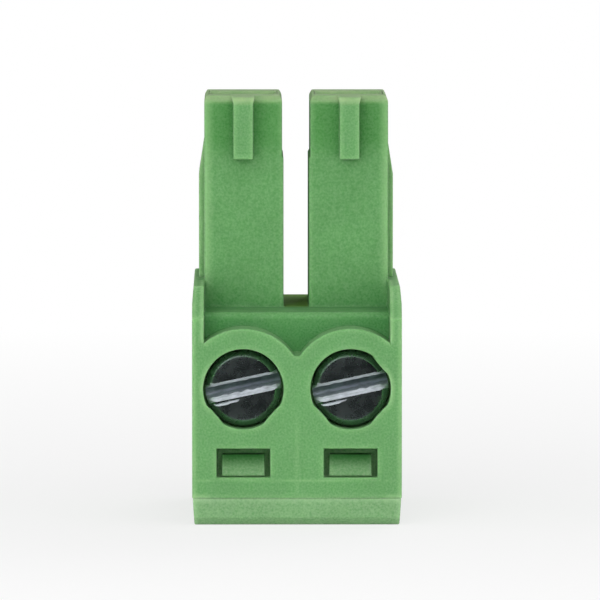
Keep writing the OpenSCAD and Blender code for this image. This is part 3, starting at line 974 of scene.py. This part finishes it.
@dataclass
class ClampScrew(Piece):
    """Slotted clamp screw with a cut thread. Its own y axis starts at the middle of the head's top."""

    seed: int = 1
    head_h: float = 1.5
    rim_r: float = 0.3
    rim_steps: int = 6
    seat_bevel: float = 0.08
    neck_h: float = 0.18
    thread_r: float = 0.985
    root_r: float = 0.755
    thread_pitch: float = 0.4
    crest_share: float = 0.16
    root_share: float = 0.22
    rows_per_turn: int = 12
    sides: int = 72
    tip_chamfer: float = 0.25
    slot_w: float = 0.55
    slot_d: float = 0.75
    slot_deg: float = 12.0
    lower_lip_w: float = 0.18
    lower_lip_d: float = 0.09
    upper_wear: float = 0.11
    upper_lip_w: float = 0.09
    upper_lip_d: float = 0.05
    wall_lean: float = 0.02
    lip_ragged: float = 0.05
    ragged_mm: float = 0.22
    scrape_w: float = 0.1
    scrape_d: float = 0.045
    scrape_gap: float = 0.07
    scrape_end: float = -0.2
    scrape_fade: float = 0.5
    end_rise: float = 0.14
    end_run: float = 0.32
    slot_steps: int = 60
    overrun: float = 0.02
    sharp_deg: float = 15.0

    def build(self, frame: dict[str, Any]) -> None:
        """Build and place the screw.

        Args:
            frame: The loaded frame, not needed here.
        """
        low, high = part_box(self.node)
        middle = (low + high) / 2
        self.length = (high.y - low.y) / MM
        self.head_r = (high.x - low.x) / (2 * MM)
        mesh = self.slotted(self.turned())
        self.mark_slot(mesh)
        mesh.set_sharp_from_angle(angle=math.radians(self.sharp_deg))
        bare_in_metres(mesh)
        screw = placed(f"{self.node}_piece", mesh, self.finish)
        screw.location = (middle.x, low.y, middle.z)
        self.settle(screw)

    def outline(self) -> list[Triple]:
        """Rows of the turned form from the head's top to the tip.

        Returns:
            Depth, radius and share of the thread's depth for each row.
        """
        rows = []
        for step in range(self.rim_steps + 1):
            turn = math.pi / 2 * step / self.rim_steps
            rim = self.head_r - self.rim_r * (1 - math.sin(turn))
            rows.append((self.rim_r * (1 - math.cos(turn)), rim, 0.0))
        start = self.head_h + self.neck_h
        rows += [
            (self.head_h - self.seat_bevel, self.head_r, 0.0),
            (self.head_h, self.head_r - self.seat_bevel, 0.0),
            (self.head_h, self.root_r, 0.0),
            (start, self.root_r, 0.0),
        ]
        count = round((self.length - start) / self.thread_pitch * self.rows_per_turn)
        for row in range(1, count + 1):
            depth = start + (self.length - start) * row / count
            run_in = min(1.0, (depth - start) / self.thread_pitch)
            limit = min(self.thread_r, self.thread_r - self.tip_chamfer + self.length - depth)
            rows.append((depth, limit, run_in))
        return rows

    def thread_share(self, depth: float, turn: float) -> float:
        """Height of the right-hand thread, 0 to 1, at a share of a turn, clockwise as the head is seen."""
        flank = abs(2 * ((depth / self.thread_pitch - turn) % 1.0) - 1) - self.root_share
        return min(1.0, max(0.0, flank / (1 - self.crest_share - self.root_share)))

    def turned(self) -> Mesh:
        """Screw without its slot, in millimetres about its own y axis.

        Returns:
            The mesh.
        """
        rings = []
        for depth, limit, run_in in self.outline():
            ring = []
            for side in range(self.sides):
                turn = side / self.sides
                height = (self.thread_r - self.root_r) * self.thread_share(depth, turn) * run_in
                radius = min(limit, self.root_r + height) if depth > self.head_h else limit
                angle = 2 * math.pi * turn
                ring.append(Vector((radius * math.sin(angle), depth, radius * math.cos(angle))))
            rings.append(ring)
        shape = tube(rings)
        bmesh.ops.recalc_face_normals(shape, faces=shape.faces)
        return mesh_from(shape, f"{self.node}_turned")

    def slot_axes(self) -> tuple[Vector, Vector]:
        """Directions along the slot and across it, towards its upper wall."""
        turn = math.radians(self.slot_deg)
        return Vector((math.cos(turn), 0, math.sin(turn))), Vector((-math.sin(turn), 0, math.cos(turn)))

    def uneven(self, place: float, row: int) -> float:
        """Smooth unevenness of one line of the slot, between -1 and 1, at a place along it."""
        apart = self.slot_steps
        return noise.noise(Vector((place / self.ragged_mm, self.seed * apart, row * apart)))

    def slot_section(self, place: float) -> list[Span]:
        """Outline of the slot at one place, with lips that the driver has pressed down.

        Args:
            place: Distance along the slot from the screw's axis.

        Returns:
            Place across the slot and depth of each corner.
        """
        half, lift = self.slot_w / 2, self.overrun
        top = half + self.upper_wear
        out = min(1.0, max(0.0, (abs(place) - self.head_r) / self.rim_r + 1))
        drop = self.rim_r * (1 - math.sqrt(1 - out**2))
        lower = self.lower_lip_w + self.lip_ragged * self.uneven(place, 0)
        upper = self.upper_lip_w + self.lip_ragged * self.uneven(place, 1) / 2
        edge = -half - self.scrape_gap + self.lip_ragged * self.uneven(place, 2) / 2
        pressed = min(1.0, (self.scrape_end - place) / self.scrape_fade + self.uneven(place, 3))
        floor = self.slot_d - self.end_rise * max(0.0, 1 - (place + self.head_r) / self.end_run)
        slope = self.scrape_w / self.scrape_d
        return [
            (edge - self.scrape_w - slope * lift, -lift),
            (edge, max(-lift / 2, self.scrape_d * pressed)),
            (edge + lift, -lift),
            (-half - lower * lift / self.lower_lip_d, -lift),
            (lower - half, self.lower_lip_d + drop),
            (self.lower_lip_w + self.lip_ragged + self.wall_lean - half, floor),
            (top - self.upper_lip_w - self.lip_ragged - self.wall_lean, floor),
            (top - upper, self.upper_lip_d + drop),
            (top + upper * lift / self.upper_lip_d, -lift),
        ]

    def slot_cutter(self) -> Mesh:
        """Closed form of what the slot takes out of the head.

        Returns:
            The mesh.
        """
        along, across = self.slot_axes()
        reach = self.head_r + self.overrun
        rings = []
        for step in range(self.slot_steps + 1):
            place = reach * (2 * step / self.slot_steps - 1)
            section = self.slot_section(place)
            rings.append([along * place + across * v + Vector((0, depth, 0)) for v, depth in section])
        shape = tube(rings)
        bmesh.ops.triangulate(shape, faces=shape.faces)
        bmesh.ops.recalc_face_normals(shape, faces=shape.faces)
        return mesh_from(shape, f"{self.node}_cutter")

    def slotted(self, mesh: Mesh) -> Mesh:
        """Cut the driver slot.

        Args:
            mesh: Turned screw.

        Returns:
            The screw with its slot.
        """
        blank, cutter = placed("blank", mesh), placed("cutter", self.slot_cutter())
        cut = blank.modifiers.new("slot", "BOOLEAN")
        cut.operation = "DIFFERENCE"
        cut.solver = "EXACT"
        cut.object = cutter
        result = as_shown(blank)
        bpy.data.batch_remove((blank, cutter))
        return result

    def mark_slot(self, mesh: Mesh) -> None:
        """Mark how far the driver has bared the slot and the scraped line below it.

        Args:
            mesh: Slotted screw, in millimetres.
        """
        lip, wall, floor, scraped = 1.0, 0.9, 1.4, 0.75
        lip_facing, flat_facing, floor_facing, hair = -0.25, -0.995, -0.8, 0.002
        half = self.slot_w / 2
        scrape = half + self.scrape_gap + self.scrape_w + self.lip_ragged
        across = self.slot_axes()[1]
        wear = []
        for face in mesh.polygons:
            place, depth = face.center.dot(across), face.center.y
            on_head = math.hypot(face.center.x, face.center.z) < self.head_r - self.rim_r
            between = -half - hair < place < half + self.upper_wear + hair
            if on_head and -scrape < place < -half and face.normal.y > flat_facing:
                wear.append(scraped)
            elif not between or not hair < depth < self.slot_d + hair:
                wear.append(0.0)
            elif depth > self.slot_d - self.end_rise and face.normal.y < floor_facing:
                wear.append(floor)
            else:
                wear.append(lip if face.normal.y < lip_facing else wall)
        write_mark(mesh, Mark.TOOL, wear)


@dataclass(frozen=True)
class Softbox:
    """Square lamp aimed at the block. Places and sizes are in metres."""

    name: str
    place: Triple
    size: float
    power: float
    mirrored: bool = True

    def hang(self, aim: Vector) -> None:
        """Hang the lamp.

        Args:
            aim: Point that the lamp faces.
        """
        light = bpy.data.lights.new(self.name, "AREA")
        light.size = self.size
        light.energy = self.power
        lamp = placed(self.name, light)
        lamp.location = self.place
        lamp.rotation_euler = (aim - Vector(self.place)).to_track_quat("-Z", "Y").to_euler()
        lamp.visible_camera = False
        lamp.visible_glossy = self.mirrored
        LOG.info("%s hung", lamp.name)


@dataclass
class Studio:
    """Floor, air, lamps and camera, with sizes in metres unless their names say otherwise."""

    lamps: tuple[Softbox, ...] = (
        Softbox("key_lamp", (-0.14, -0.31, 0.17), 0.18, 0.145),
        Softbox("fill_lamp", (0.26, -0.24, 0.10), 0.18, 0.06),
        Softbox("top_lamp", (0.02, -0.16, 0.30), 0.18, 0.05),
        Softbox("back_lamp", (0.12, 0.30, 0.22), 0.20, 0.25),
        Softbox("bounce_lamp", (-0.01, -0.085, 0.014), 0.05, 0.035, mirrored=False),
        Softbox("camera_lamp", (-0.004, -0.30, 0.032), 0.02, 0.16, mirrored=False),
    )
    floor_r: float = 0.6
    floor_sides: int = 64
    floor_colour: Colour = (0.86, 0.86, 0.86)
    floor_glow: Span = (0.68, 1.0)
    glow_r: Span = (0.012, 0.09)
    air_colour: Colour = (1.0, 1.0, 1.0)
    air_shade: Span = (0.86, 0.3)
    card_near: float = 0.0105
    card_far: float = 0.36
    card_low: float = 0.001
    card_high: float = 0.21
    card_w: float = 0.5
    card_colour: Colour = (0.01, 0.01, 0.01)
    screen_y: float = 0.03
    screen_w: float = 0.05
    screen_h: Span = (0.004, 0.03)
    look_at_mm: Triple = (0.106, -5.55, 8.04)
    look_from: float = 0.3
    look_up_deg: float = 4.0
    look_side_deg: float = -0.4
    picture_w_mm: float = 21.28
    sensor_mm: float = 36.0

    def build(self) -> None:
        """Build the studio round the block."""
        bpy.context.scene.view_settings.view_transform = "Standard"
        aim = Vector(self.look_at_mm) * MM
        self.camera(aim)
        for softbox in self.lamps:
            softbox.hang(aim)
        self.air()
        self.floor()
        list(self.cards())

    def camera(self, aim: Vector) -> None:
        """Set up the camera in front of the screws.

        Args:
            aim: Point in the middle of the picture.
        """
        up, side = math.radians(self.look_up_deg), math.radians(self.look_side_deg)
        away = Vector((math.sin(side) * math.cos(up), -math.cos(side) * math.cos(up), math.sin(up)))
        lens = bpy.data.cameras.new("camera")
        lens.sensor_width = self.sensor_mm
        lens.lens = self.sensor_mm * self.look_from / (self.picture_w_mm * MM)
        lens.clip_start = MM
        camera = placed("camera", lens)
        camera.location = aim + away * self.look_from
        camera.rotation_euler = (-away).to_track_quat("-Z", "Y").to_euler()
        bpy.context.scene.camera = camera

    def air(self) -> None:
        """Set up white air that lights the block softly, most from before it."""
        sheet = NodeSheet(bpy.data.worlds.new("studio_air"))
        sheet.feed(Color=self.air_colour)
        depth = sheet.along("Y", sheet.coordinates["Generated"])
        strength = sheet.remap(depth, *self.air_shade, -1, 1)
        shade = sheet.add("Background", {"Color": self.air_colour, "Strength": strength})
        sheet.show(sheet.seen_directly(), shade["Background"], sheet.shader.outputs["Background"])
        bpy.context.scene.world = sheet.owner

    def floor(self) -> Object:
        """White floor that keeps the block's shadow.

        Returns:
            The floor.
        """
        shape = bmesh.new()
        bmesh.ops.create_circle(shape, cap_ends=True, radius=self.floor_r, segments=self.floor_sides)
        sheet = NodeSheet(bpy.data.materials.new("white_floor"))
        sheet.tree.nodes.remove(sheet.shader)
        paper = sheet.add("BsdfDiffuse", {"Color": self.floor_colour})
        reach = sheet.add("VectorMath", {"Vector": sheet.place}, operation="LENGTH")["Value"]
        glow = sheet.remap(reach, *self.floor_glow, *self.glow_r)
        share = sheet.product(sheet.seen_directly(), glow)
        sheet.show(share, paper["BSDF"], sheet.add("Emission")["Emission"])
        return placed("floor", mesh_from(shape, "floor", smooth=False), sheet.owner)

    def cards(self) -> list[Object]:
        """Dark cards before and behind the block that only gloss on it shows.

        Returns:
            The cards.
        """
        sheet = NodeSheet(bpy.data.materials.new("dark_card"))
        sheet.feed(Base_Color=self.card_colour, Specular_IOR_Level=0.0, Roughness=1.0)
        near, far, low = -self.card_near, -self.card_far, self.card_low
        rows = {
            "front_card": (self.card_w, [(near, low), (far, low), (far, self.card_high)]),
            "back_card": (self.screen_w, [(self.screen_y, z) for z in self.screen_h]),
        }
        cards = []
        for name, (width, places) in rows.items():
            shape = bmesh.new()
            lines = [[shape.verts.new((x, y, z)) for x in (-width / 2, width / 2)] for y, z in places]
            for (left, right), (next_left, next_right) in zip(lines, lines[1:]):
                shape.faces.new((left, right, next_right, next_left))
            card = placed(name, mesh_from(shape, name, smooth=False), sheet.owner)
            card.visible_camera = card.visible_diffuse = card.visible_shadow = False
            cards.append(card)
        return cards


HOUSING_GREEN = MouldedPlastic(
    "housing_green",
    colour=srgb(99, 147, 94),
    wear_and_highlight=srgb(146, 184, 132),
    wear_and_sheen=srgb(150, 172, 128),
    seam_highlight_share=0.5,
    pole_share=0.15,
)
COVER_GREEN = MouldedPlastic(
    "cover_green",
    colour=srgb(118, 157, 111),
    wear_and_highlight=srgb(154, 188, 144),
    wear_and_sheen=srgb(154, 188, 144),
    rub_and_highlight_share=(0.5, 0.8),
    # Painted shade up the hooks, under the windows' top edges.
    darker_up_tone=(0.08, 0.3, 0.1),
    darker_up_z_mm=(2.03, 2.43),
    darker_up_share=(0.26, 0.95),
    darker_up_edge_share=0.2,
)
DARK_PLATING = TurnedMetal(
    "dark_plating", colour=srgb(174, 192, 192), stain=srgb(152, 163, 164), bright=srgb(242, 246, 254)
)
NICKEL_STRIP = SheetMetal(
    "nickel_strip", colour=srgb(200, 194, 180), tarnish=srgb(168, 160, 142), polished=srgb(226, 222, 212)
)
TINNED_STRIP = SheetMetal(
    "tinned_strip", colour=srgb(204, 202, 196), tarnish=srgb(176, 170, 158), polished=srgb(230, 228, 222)
)


def main() -> None:
    """Build the block and its studio."""
    logging.basicConfig(level=logging.INFO, format="%(name)s: %(message)s")
    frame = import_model()
    block = "block"
    pieces = [
        Housing("housing", block, Slot.MOULDING, HOUSING_GREEN.material()),
        WireCover("wire_cover", block, Slot.MOULDING, COVER_GREEN.material()),
    ]
    plating, nickel, tin = DARK_PLATING.material(), NICKEL_STRIP.material(), TINNED_STRIP.material()
    for seed, side in enumerate(Side):
        screw, cage, contact = (f"{side.value}_{part}" for part in ("screw", "cage", "contact"))
        pieces += [
            ClampScrew(screw, f"{screw}_body", Slot.SCREW, plating, seed=seed),
            ClampCage(cage, f"{cage}_body", Slot.CAGE, nickel),
            SocketContact(contact, block, Slot.CONTACT, tin),
        ]
    for piece in pieces:
        piece.build(frame)
    Studio().build()


if __name__ == "__main__":
    main()
